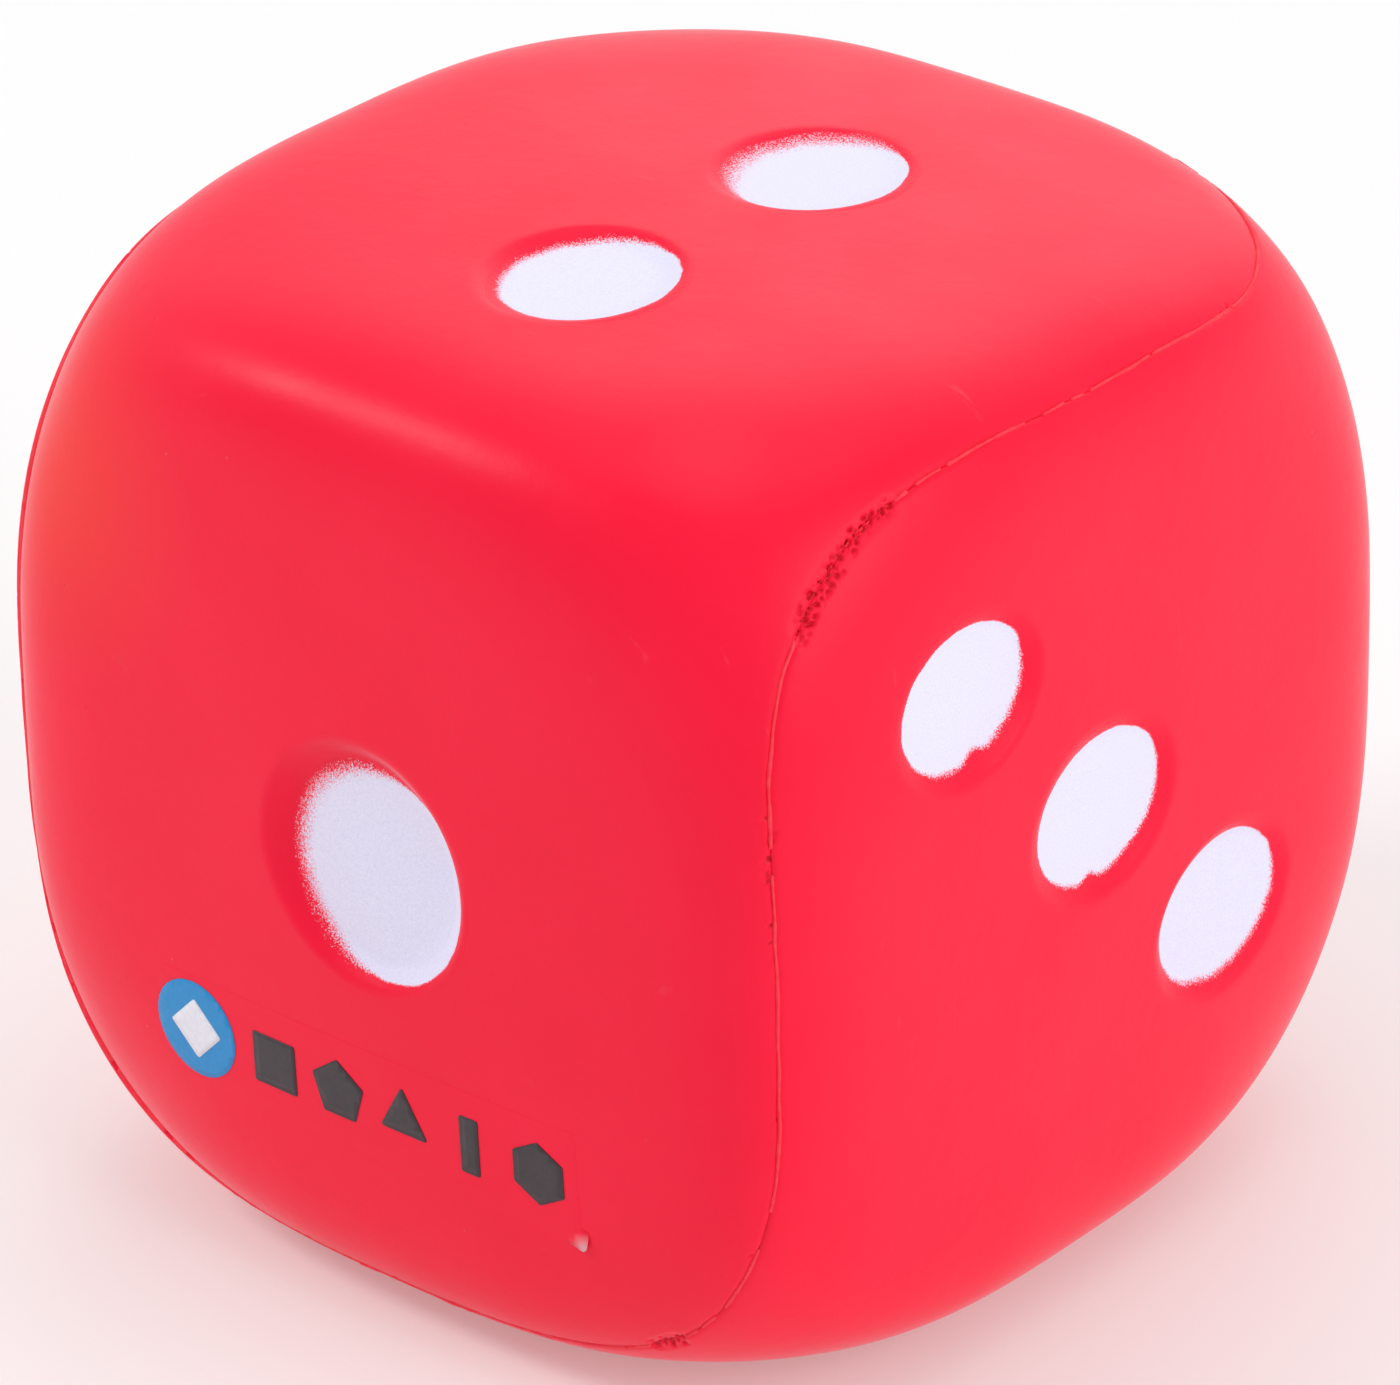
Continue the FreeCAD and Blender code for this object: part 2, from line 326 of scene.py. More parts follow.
def seam_angle(points):
    """The angle of points about the axis through the edge between the faces one and two."""
    across = (points[:, 1] + points[:, 2]) / math.sqrt(2)
    return np.arctan2(across, points[:, 0])


def seam_path(step):
    """Points along the parting line, evenly spaced, with their normals and the directions across it."""
    count = 6000
    turn = np.linspace(-math.pi, math.pi, count, endpoint=False)
    axis = np.array([0.0, -1.0, 1.0]) / math.sqrt(2)
    side = np.outer(np.cos(turn), (1, 0, 0)) + np.outer(np.sin(turn), (0, math.sqrt(0.5), math.sqrt(0.5)))
    near = np.full(count, 0.15)
    far = np.full(count, math.pi - 0.15)
    for _ in range(34):
        middle = (near + far) / 2
        directions = np.cos(middle)[:, None] * axis + np.sin(middle)[:, None] * side
        points, normals = plain_surface(directions)
        inside = seam_distance(points) > 0
        near = np.where(inside, middle, near)
        far = np.where(inside, far, middle)
    lengths = np.linalg.norm(np.roll(points, -1, axis=0) - points, axis=1)
    travelled = np.concatenate([[0.0], np.cumsum(lengths)])
    total = travelled[-1]
    wanted = np.arange(int(total / step)) * (total / int(total / step))
    closed = np.vstack([points, points[:1]])
    closed_normals = np.vstack([normals, normals[:1]])
    points = np.stack([np.interp(wanted, travelled, closed[:, k]) for k in range(3)], axis=1)
    normals = np.stack([np.interp(wanted, travelled, closed_normals[:, k]) for k in range(3)], axis=1)
    normals /= np.linalg.norm(normals, axis=1, keepdims=True)
    along = np.roll(points, -3, axis=0) - np.roll(points, 3, axis=0)
    along /= np.linalg.norm(along, axis=1, keepdims=True)
    across = np.cross(normals, along)
    across /= np.linalg.norm(across, axis=1, keepdims=True)
    across *= np.sign(seam_distance(points + across) - seam_distance(points - across))[:, None]
    return points, normals, across


def torn(points):
    """How torn the seam is, from 0 to 1: most at the near top corner, where the mould filled last."""
    away = np.min([np.linalg.norm(points - middle, axis=1) / reach for middle, reach in TEARS], axis=0)
    ragged = 0.12 * noise(points, 2.5, 14)
    return 1.0 - smoothstep(0.72, 1.0, away + ragged)


def pits(points, distance):
    """The broken cells along the tear and the few pinholes beside the rest of the seam, from 0 to 1."""
    weight = np.zeros(len(points))
    near = np.abs(distance) < 4.0
    if not near.any():
        return weight
    spots = points[near]
    gap = np.abs(distance[near] + 0.25 * noise(spots, 4.0, 15))
    open_cells = 1.0 - smoothstep(0.30, 0.52, cell_distance(spots, 1.15, 16))
    small_cells = 1.0 - smoothstep(0.22, 0.42, cell_distance(spots, 0.7, 20))
    band = torn(spots) * (1.0 - smoothstep(0.8, 1.7, gap))
    core_band = torn(spots) * (1.0 - smoothstep(0.3, 0.7, gap))
    chosen = smoothstep(-0.30, 0.20, noise(spots, 1.7, 17))
    pinholes = 1.0 - smoothstep(0.22, 0.34, cell_distance(spots, 1.5, 18))
    row = (1.0 - smoothstep(0.5, 1.0, gap)) * smoothstep(0.25, 0.5, noise(spots, 9.0, 19))
    weight[near] = np.maximum.reduce([
        open_cells * band * chosen, small_cells * core_band, 0.7 * pinholes * row
    ])
    return weight


# ------------------------------------------------------ meshes


def new_piece(name, points, faces, material, attributes=None, flat_faces=0):
    """A mesh object that rides on the die. Points are in millimetres from the middle of the die. The last
    `flat_faces` faces, a thin layer's rim, are shaded flat so that its top is not shaded round at the rim."""
    mesh = bpy.data.meshes.new(name)
    corners = [tuple(int(i) for i in face) for face in faces]
    mesh.from_pydata((points * METRES + MIDDLE).tolist(), [], corners)
    mesh.update()
    smooth = len(faces) - flat_faces
    mesh.polygons.foreach_set("use_smooth", [True] * smooth + [False] * flat_faces)
    for key, values in (attributes or {}).items():
        layer = mesh.attributes.new(key, "FLOAT", "POINT")
        layer.data.foreach_set("value", np.asarray(values, np.float32))
    mesh.materials.append(material)
    piece = bpy.data.objects.new(name, mesh)
    bpy.context.scene.collection.objects.link(piece)
    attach(piece, "root")
    return piece


def grid_lines(middle_step, edge_step):
    """Places from -1 to 1 across a face, closer together towards its edges."""
    places = [0.0]
    while places[-1] < 1.0:
        blend = float(smoothstep(0.62, 0.86, places[-1]))
        places.append(places[-1] + middle_step + (edge_step - middle_step) * blend)
    half = np.array(places) / places[-1]
    return np.concatenate([-half[:0:-1], half])


def face_of(points):
    """The number, in the order of FACES, of the face that each point lies nearest to."""
    outs = np.array([ways[0] for ways in FACES.values()])
    return np.argmax(points @ outs.T, axis=1)


def on_face(face, points):
    """Where points lie on a face, from -1 to 1 each way."""
    out, u, v = FACES[face]
    level = points @ out
    return np.stack([points @ u / level, points @ v / level], axis=1)


def sheet_mesh(lines, extra, rings):
    """The whole surface as one closed sheet of triangles: directions and faces. `extra` are points to add,
    and `rings` says whether each pip gets rings of points along its wall."""
    directions = []
    faces = []
    first = 0
    extra_face = face_of(extra) if len(extra) else np.zeros(0, int)
    for number, (face, (out, u, v)) in enumerate(FACES.items()):
        a, b = (grid.ravel() for grid in np.meshgrid(lines, lines))
        edge = (np.abs(a) > 0.99999) | (np.abs(b) > 0.99999)
        keep = np.ones(len(a), bool)
        added = []
        if rings:
            flat, _ = plain_surface(out + a[:, None] * u + b[:, None] * v)
            for spot in PIPS[face]:
                gap = floor_distance(spot, flat @ u, flat @ v)
                keep &= (gap < RING_OFFSETS[0] - 0.8) | (gap > RING_OFFSETS[-1] + 0.8)
                added.append(ring_places(face, spot))
        if len(extra):
            added.append(on_face(face, extra[extra_face == number]))
            inside = np.abs(added[-1]).max(axis=1) < 1.0 - 0.4 * (lines[-1] - lines[-2])
            added[-1] = added[-1][inside]
            keep &= far_from(np.stack([a, b], axis=1), added[-1], GRID_GAP)
        keep |= edge
        places = np.vstack([np.stack([a[keep], b[keep]], axis=1)] + added)
        spots, _, triangles, *_ = geometry.delaunay_2d_cdt([Vector(p) for p in places], [], [], 0, 1e-7)
        spots = np.array(spots)
        triangles = np.array(triangles)
        directions.append(out + spots[:, :1] * u + spots[:, 1:] * v)
        faces.append(triangles + first)
        first += len(spots)
    return weld(np.vstack(directions), np.vstack(faces))


def far_from(places, others, distance):
    """Which places have none of the others within a distance."""
    if not len(others):
        return np.ones(len(places), bool)
    taken = set(map(tuple, np.floor(others / distance).astype(int)))
    cells = np.floor(places / distance).astype(int)
    free = []
    for i, j in cells:
        free.append(not any((i + di, j + dj) in taken for di in (-1, 0, 1) for dj in (-1, 0, 1)))
    return np.array(free)


def ring_places(face, spot):
    """Places of the rings of points along the wall of a recess."""
    angle = np.linspace(0.0, 2 * math.pi, RING_POINTS, endpoint=False)
    middle = recess_place(spot)
    rings = []
    for number, offset in enumerate(RING_OFFSETS):
        turned = angle + (number % 2) * math.pi / RING_POINTS
        radius = floor_radius(spot, turned) + offset
        across = middle[0] + radius * np.cos(turned)
        up = middle[1] + radius * np.sin(turned)
        rings.append(on_face(face, face_point(face, across, up)[0]))
    return np.vstack(rings)


def weld(directions, faces):
    """Joins the sheets of the six faces along their shared edges."""
    unit = directions / np.linalg.norm(directions, axis=1, keepdims=True)
    keys = np.round(unit * 1e7).astype(np.int64)
    _, first, index = np.unique(keys, axis=0, return_index=True, return_inverse=True)
    faces = index.ravel()[faces]
    whole = (faces[:, 0] != faces[:, 1]) & (faces[:, 1] != faces[:, 2]) & (faces[:, 2] != faces[:, 0])
    return directions[first], faces[whole]


def split_by(distance, points, faces):
    """Cuts a sheet where `distance` passes zero. Returns the triangles of the two sides, where the new points
    lie, as pairs of points and the shares between them, and the loop of new points along the cut."""
    distance = np.where(np.abs(distance) < 1e-5, 1e-5, distance)
    above = distance > 0
    count = above[faces].sum(axis=1)
    sides = {True: [faces[count == 3]], False: [faces[count == 0]]}
    made = {}
    pairs = []
    links = {}

    def crossing(i, j):
        key = (min(i, j), max(i, j))
        if key not in made:
            made[key] = len(points) + len(pairs)
            pairs.append(key)
        return made[key]

    for face in faces[(count == 1) | (count == 2)]:
        alone = count_alone(above, face)
        i, j, k = np.roll(face, -alone)
        ij = crossing(i, j)
        ik = crossing(i, k)
        sides[bool(above[i])].append(np.array([[i, ij, ik]]))
        sides[bool(above[j])].append(np.array([[ij, j, k], [ij, k, ik]]))
        if above[i]:
            links[ik] = ij
        else:
            links[ij] = ik
    pairs = np.array(pairs)
    share = distance[pairs[:, 0]] / (distance[pairs[:, 0]] - distance[pairs[:, 1]])
    loop = [next(iter(links))]
    while links[loop[-1]] != loop[0]:
        loop.append(links[loop[-1]])
    return {side: np.vstack(parts) for side, parts in sides.items()}, pairs, share, np.array(loop)


def count_alone(above, face):
    """Which corner of a triangle lies on the other side from its two others."""
    signs = above[face]
    return next(corner for corner in range(3) if signs[corner - 1] == signs[corner - 2])


def zip_loops(first, second, first_angle, second_angle):
    """Triangles between two closed loops, each given as point numbers with their rising angles."""
    faces = []
    i = 0
    j = 0
    while i < len(first) or j < len(second):
        a = first[i % len(first)]
        b = second[j % len(second)]
        next_first = first_angle[i + 1] if i < len(first) else 1e9
        next_second = second_angle[j + 1] if j < len(second) else 1e9
        if next_first <= next_second:
            faces.append((a, first[(i + 1) % len(first)], b))
            i += 1
        else:
            faces.append((a, second[(j + 1) % len(second)], b))
            j += 1
    return np.array(faces)


def from_lowest_angle(loop, points):
    """Turns a loop so that it starts at its lowest angle and rises. Returns it and its running angles."""
    angle = seam_angle(points[loop])
    start = int(np.argmin(angle))
    loop = np.roll(loop, -start)
    angle = np.roll(angle, -start)
    if np.median(np.diff(angle)) < 0:
        loop = np.roll(loop[::-1], 1)
        angle = np.roll(angle[::-1], 1)
    return loop, np.concatenate([np.maximum.accumulate(angle), [angle[0] + 2 * math.pi]])


def only_used(points, faces, attributes):
    """Drops the points that no face uses."""
    used, index = np.unique(faces, return_inverse=True)
    kept = {key: values[used] for key, values in attributes.items()}
    return points[used], index.reshape(faces.shape), kept


# -------------------------------------------------------- skin

SKIN = 2.0
LIP = 0.30
PROUD_LEFT = 0.85
PROUD_RIGHT = 0.12
PIT_DEPTH = 0.6
BROKEN_BEAD = 1.2
BEAD_SINK = 0.32


def seam_rows(path):
    """Points beside the parting line, in rows along it, and closer together along the tear."""
    rows = []
    points, _, across = path
    for offset in (-1.2, -0.65, -0.25, 0.25, 0.65, 1.2):
        whole = torn(points) < 0.001
        rows.append((points + offset * across)[whole])
    points, _, across = seam_path(TORN_STEP)
    for offset in np.arange(-2.3, 2.31, 0.2):
        rows.append((points + offset * across)[torn(points) >= 0.001])
    return np.vstack(rows)


def outer_surface(directions):
    """The moulded surface with its recesses: points, normals and distances from the parting line."""
    plain, normals = plain_surface(directions)
    return press_recesses(uneven(plain, normals)), normals, seam_distance(plain)


def with_cut(values, pairs, share):
    """Values for the points of a sheet followed by those of the points along its cut."""
    share = share.reshape((-1,) + (1,) * (values.ndim - 1))
    return np.concatenate([values, values[pairs[:, 0]] * (1 - share) + values[pairs[:, 1]] * share])


def seam_edges(points, normals, distance, front):
    """Shapes a skin half along the parting line: rolled lip, step between the halves, open cells."""
    gap = np.abs(distance)
    height = -LIP * (1.0 - np.clip(gap / 0.8, 0.0, 1.0)) ** 2
    if not front:
        left = smoothstep(20.0, 60.0, -points[:, 0])
        proud = PROUD_RIGHT + (PROUD_LEFT - PROUD_RIGHT) * left
        height += proud * (1.0 - smoothstep(0.0, 8.0, gap))
    broken = pits(points, distance)
    height -= PIT_DEPTH * broken
    height -= 0.25 * torn(points) * (1.0 - smoothstep(0.5, 2.0, gap))
    return points + normals * height[:, None], broken


def build_skins(path, material):
    """The two skin halves, each closed: moulded surface, inside of the skin and wall at the seam."""
    outer_directions, outer_faces = sheet_mesh(grid_lines(GRID_MIDDLE, GRID_EDGE), seam_rows(path), True)
    inner_directions, inner_faces = sheet_mesh(grid_lines(GRID_INSIDE, GRID_INSIDE), np.zeros((0, 3)), False)
    sheets = []
    outer = (outer_directions, outer_faces, 0.0)
    inner = (inner_directions, inner_faces, SKIN)
    for directions, faces, depth in (outer, inner):
        points, normals, distance = outer_surface(directions)
        sides, pairs, share, loop = split_by(distance, points, faces)
        points = with_cut(points - depth * normals, pairs, share)
        normals = with_cut(normals, pairs, share)
        distance = with_cut(distance, pairs, share)
        distance[-len(pairs):] = 0.0
        sheets.append((sides, points, normals, distance, from_lowest_angle(loop, points)))

    for name, front in (("skin_front_top_foam", True), ("skin_back_bottom_foam", False)):
        sides, points, normals, distance, (outer_loop, outer_angle) = sheets[0]
        shaped, broken = seam_edges(points, normals, distance, front)
        inner_sides, inner_points, _, _, (inner_loop, inner_angle) = sheets[1]
        first = len(shaped)
        wall = zip_loops(outer_loop, inner_loop + first, outer_angle, inner_angle)
        all_points = np.vstack([shaped, inner_points])
        axis = np.array([0.0, -1.0, 1.0]) * (-1 if front else 1)
        corners = all_points[wall]
        facing = np.cross(corners[:, 1] - corners[:, 0], corners[:, 2] - corners[:, 0]).sum(axis=0) @ axis
        if facing < 0:
            wall = wall[:, ::-1]
        faces = np.vstack([sides[front], inner_sides[front][:, ::-1] + first, wall])
        attributes = {"pit": np.concatenate([broken, np.zeros(len(inner_points))])}
        all_points, faces, attributes = only_used(all_points, faces, attributes)
        piece = new_piece(name, all_points, faces, material, attributes)
        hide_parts("skin_front_top" if front else "skin_back_bottom")


def build_core(material):
    """The foam inside the skin, with the small open cells of a cut or torn face all over."""
    directions, faces = sheet_mesh(grid_lines(GRID_CORE, GRID_CORE), np.zeros((0, 3)), False)
    points, normals, _ = outer_surface(directions)
    open_cells = 1.0 - smoothstep(0.25, 0.6, cell_distance(points, 4.0, 72))
    cells = 0.12 * noise(points, 3.2, 71) - 0.10 * open_cells
    points = points - normals * (SKIN + 0.3 - cells)[:, None]
    piece = new_piece("foam_core_cells", points, faces, material)
    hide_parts("foam_core")


def build_flash(path, material):
    """The thin raised line of foam that squeezed out between the mould's halves."""
    points, normals, across = path
    width = 0.30 * (1.0 + 0.30 * noise(points, 3.0, 81) + 0.25 * noise(points, 0.9, 82))
    height = 0.20 + 0.12 * noise(points, 6.0, 83) + 0.10 * noise(points, 1.1, 84)
    left = smoothstep(20.0, 60.0, -points[:, 0])
    height += 0.35 * left
    broken = np.maximum(torn(points) * 1.3, smoothstep(0.45, 0.60, noise(points, 2.2, 85)))
    broken = np.clip(broken, 0.0, 1.0)
    height = height * (1.0 - broken) - BROKEN_BEAD * broken
    angles = np.linspace(0.0, math.pi, 8)
    profile = [(math.cos(angle), math.sin(angle) ** 0.8) for angle in angles] + [(-1.0, -0.7), (1.0, -0.7)]
    rings = []
    for x, rise in profile:
        level = np.where(rise >= 0, (height + BEAD_SINK) * rise - BEAD_SINK, -BEAD_SINK - 0.5)
        rings.append(points + across * (width * x)[:, None] + normals * level[:, None])
    count = len(points)
    corners = len(profile)
    all_points = np.stack(rings, axis=1).reshape(-1, 3)
    faces = []
    for i in range(count):
        after = (i + 1) % count
        for k in range(corners):
            beside = (k + 1) % corners
            here, there = i * corners, after * corners
            faces.append((here + k, here + beside, there + beside, there + k))
    faces = np.array(faces)
    sample = all_points[faces[3]]
    outward = np.cross(sample[1] - sample[0], sample[2] - sample[0]) @ normals[0]
    if outward < 0:
        faces = faces[:, ::-1]
    piece = new_piece("parting_line_bead", all_points, faces, material)
    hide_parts("parting_line_flash")


# ------------------------------------------------------- paint

PAINT_SEGMENTS = 128
PAINT_SHARES = (0.14, 0.28, 0.42, 0.55, 0.66)
PAINT_OFFSETS = (
    -2.9, -2.2, -1.7, -1.3, -1.0, -0.7, -0.4, -0.1, 0.2, 0.5, 0.8, 1.1, 1.5, 1.9, 2.4, 3.0, 3.6
)
PAINT_LIFT = 0.08
PAINT_RIM = -0.08
PAINT_THICKNESS = 0.16


def paint_edge(spot, angle):
    """The radius of the paint's outline, with its slight unevenness and its notches."""
    ring = np.stack([np.cos(angle), np.sin(angle), np.zeros(len(angle))], axis=1) * 15.0
    radius = oval_radius(angle, spot["size"], spot["turn"])
    radius += 0.22 * noise(ring, 6.0, spot["seed"] + 2) + 0.12 * noise(ring, 1.8, spot["seed"] + 3)
    for where, depth in spot["notches"]:
        away = (np.degrees(angle) - where + 180.0) % 360.0 - 180.0
        radius -= depth * np.exp(-((away / 9.0) ** 2))
    return radius


def build_pip(face, number, spot, material):
    """The sprayed paint of one pip: a thin closed layer on the floor and the foot of the recess's wall."""
    out = FACES[face][0]
    angle = np.linspace(0.0, 2 * math.pi, PAINT_SEGMENTS, endpoint=False)
    edge = paint_edge(spot, angle)
    soft = smoothstep(-0.3, 0.9, np.cos(angle - math.radians(spot["soft_side"])))
    softness = 0.22 + (spot["softness"] - 0.22) * soft
    radii = [edge * share for share in PAINT_SHARES] + [edge + offset for offset in PAINT_OFFSETS]
    across = np.concatenate([[0.0]] + [radius * np.cos(angle) for radius in radii]) + spot["at"][0]
    up = np.concatenate([[0.0]] + [radius * np.sin(angle) for radius in radii]) + spot["at"][1]
    cover = np.concatenate([[8.0]] + [(edge - radius) / softness for radius in radii])
    plain, normals = face_point(face, across, up)
    beyond = np.concatenate([[-8.0]] + [radius - edge for radius in radii])
    lift = PAINT_LIFT + (PAINT_RIM - PAINT_LIFT) * smoothstep(0.4, PAINT_OFFSETS[-1], beyond)
    points = press_recesses(uneven(plain, normals)) + lift[:, None] * out
    count = len(points)
    all_points = np.vstack([points, points - out * PAINT_THICKNESS])
    cover = np.concatenate([cover, cover])

    top = [(0, 1 + k, 1 + (k + 1) % PAINT_SEGMENTS) for k in range(PAINT_SEGMENTS)]
    bands = len(radii) - 1
    for band in range(bands):
        start = 1 + band * PAINT_SEGMENTS
        for k in range(PAINT_SEGMENTS):
            beside = (k + 1) % PAINT_SEGMENTS
            after = start + PAINT_SEGMENTS
            top.append((start + k, after + k, after + beside, start + beside))
    faces = top + [tuple(corner + count for corner in corners[::-1]) for corners in top]
    rim = 1 + bands * PAINT_SEGMENTS
    for k in range(PAINT_SEGMENTS):
        beside = (k + 1) % PAINT_SEGMENTS
        faces.append((rim + k, rim + count + k, rim + count + beside, rim + beside))
    name = f"paint_{face}_{number}"
    piece = new_piece(name, all_points, faces, material, {"cover": cover}, PAINT_SEGMENTS)
    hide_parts(f"pip_{face}_{number}")


# ------------------------------------------------------- decal

DECAL_SINK = 0.05
DECAL_GRID = 1.3
FILM_TOP = 0.035
FILM_PEEL_REACH = 4.2
FILM_PEEL_HEIGHT = 0.9
FILM_FEATHER = 3.0
INK_LOW = 0.03
INK_HIGH = 0.14
DIAMOND_LIFT = 0.06


def rounded_outline(corners, radius, spacing=0.45):
    """A closed outline with round corners, as evenly spaced points."""
    corners = np.array(corners, float)
    outline = []
    for i, corner in enumerate(corners):
        before = corners[i - 1] - corner
        after = corners[(i + 1) % len(corners)] - corner
        before_length = np.linalg.norm(before)
        after_length = np.linalg.norm(after)
        before = before / before_length
        after = after / after_length
        half = math.acos(float(np.clip(before @ after, -1, 1))) / 2
        reach = min(radius / math.tan(half), 0.49 * before_length, 0.49 * after_length)
        start = corner + before * reach
        end = corner + after * reach
        for share in np.linspace(0.0, 1.0, 6):
            outline.append((1 - share) ** 2 * start + 2 * share * (1 - share) * corner + share**2 * end)
        following = corners[(i + 1) % len(corners)]
        straight = after_length - 2 * reach
        steps = max(int(straight / spacing), 1)
        for step in range(1, steps):
            outline.append(end + (following - after * reach - end) * step / steps)
    return np.array(outline)


def regular(sides, radius, middle, turn):
    """The corners of a regular polygon."""
    angles = [math.radians(turn + 360.0 * k / sides) for k in range(sides)]
    return [(middle[0] + radius * math.cos(a), middle[1] + radius * math.sin(a)) for a in angles]


def rectangle(middle, size):
    """The corners of an upright rectangle."""
    (x, z), (wide, tall) = middle, size
    return [(x + sx * wide / 2, z + sz * tall / 2) for sx, sz in ((-1, -1), (1, -1), (1, 1), (-1, 1))]


def decal_piece(name, node, outline, low, high, material, peel=None, feather=None):
    """A thin closed patch that follows face one, between two heights above it. Within `feather` of its border
    it sinks into the face, and `peel` lifts a corner: the place, the reach and the height."""
    out = FACES["one"][0]
    count = len(outline)
    low_corner = outline.min(axis=0)
    high_corner = outline.max(axis=0)
    rows = [np.arange(start, end, DECAL_GRID) for start, end in zip(low_corner, high_corner)]
    grid = np.stack([g.ravel() for g in np.meshgrid(*rows)], axis=1)
    near = np.array([np.linalg.norm(outline - p, axis=1).min() > 0.35 for p in grid])
    places = np.vstack([outline, grid[near]])
    spots, _, triangles, *_ = geometry.delaunay_2d_cdt(
        [Vector(p) for p in places], [], [list(range(count))], 1, 1e-6
    )
    spots = np.array(spots)
    triangles = np.array(triangles)
    spots, triangles, _ = only_used(spots, triangles, {})
    plain, normals = face_point("one", spots[:, 0], spots[:, 1])
    base = press_recesses(uneven(plain, normals))
    lift = np.zeros(len(spots))
    sink = np.zeros(len(spots))
    if peel is not None:
        corner, reach, height = peel
        lift = height * (1.0 - smoothstep(0.0, reach, np.linalg.norm(spots - corner, axis=1))) ** 1.5
    if feather is not None:
        border = np.array([np.linalg.norm(outline - p, axis=1).min() for p in spots])
        sink = (high - low) * 0.7 * (1.0 - smoothstep(0.0, feather, border))
    top = base + out * (high + lift - sink)[:, None]
    bottom = base + out * (low + lift)[:, None]
    edges = {}
    for i, j, k in triangles:
        for pair in ((i, j), (j, k), (k, i)):
            edges[pair] = True
    size = len(spots)
    walls = [(i, size + i, size + j, j) for i, j in edges if (j, i) not in edges]
    faces = [tuple(t) for t in triangles] + [tuple(t[::-1] + size) for t in triangles] + walls
    attributes = {"peel": np.concatenate([lift, lift])}
    piece = new_piece(name, np.vstack([top, bottom]), faces, material, attributes, len(walls))
    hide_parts(node)


def node_place(node):
    """The middle and the size of a decal node on face one, in millimetres."""
    low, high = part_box(node)
    middle = ((low.x + high.x) / 2 / METRES, ((low.z + high.z) / 2 - MIDDLE[2]) / METRES)
    return middle, ((high.x - low.x) / METRES, (high.z - low.z) / METRES)


def build_decal(materials):
    """The clear film, the emblem and the five marks."""
    corners = rectangle(*node_place("decal_film"))
    peel = (np.array(corners[1]), FILM_PEEL_REACH, FILM_PEEL_HEIGHT)
    decal_piece("decal_clear_film", "decal_film", rounded_outline(corners, 1.2), -DECAL_SINK, FILM_TOP,
                materials["film"], peel, FILM_FEATHER)
    middle, size = node_place("decal_emblem_disc")
    outline = rounded_outline(regular(32, size[0] / 2, middle, 0), 1.0)
    decal_piece("decal_blue_disc", "decal_emblem_disc", outline, INK_LOW, INK_HIGH, materials["blue"])
    middle, size = node_place("decal_emblem_diamond")
    outline = rounded_outline(regular(4, size[0] / 2, middle, 0), 0.5)
    decal_piece("decal_white_diamond", "decal_emblem_diamond", outline, INK_LOW + DIAMOND_LIFT,
                INK_HIGH + DIAMOND_LIFT, materials["white"])
    for mark, sides in (("pentagon", 5), ("triangle", 3), ("hexagon", 6), ("square", None), ("bar", None)):
        middle, size = node_place("decal_mark_" + mark)
        if sides is None:
            corners = rectangle(middle, size)
        else:
            radius = size[1] / (1 + (math.cos(math.pi / sides) if sides % 2 else 1))
            low_edge = middle[1] - size[1] / 2
            corners = regular(sides, radius, (middle[0], low_edge + size[1] - radius), 90)
        decal_piece("decal_ink_" + mark, "decal_mark_" + mark, rounded_outline(corners, 0.5),
                    INK_LOW, INK_HIGH, materials["ink"])


# --------------------------------------------------- materials


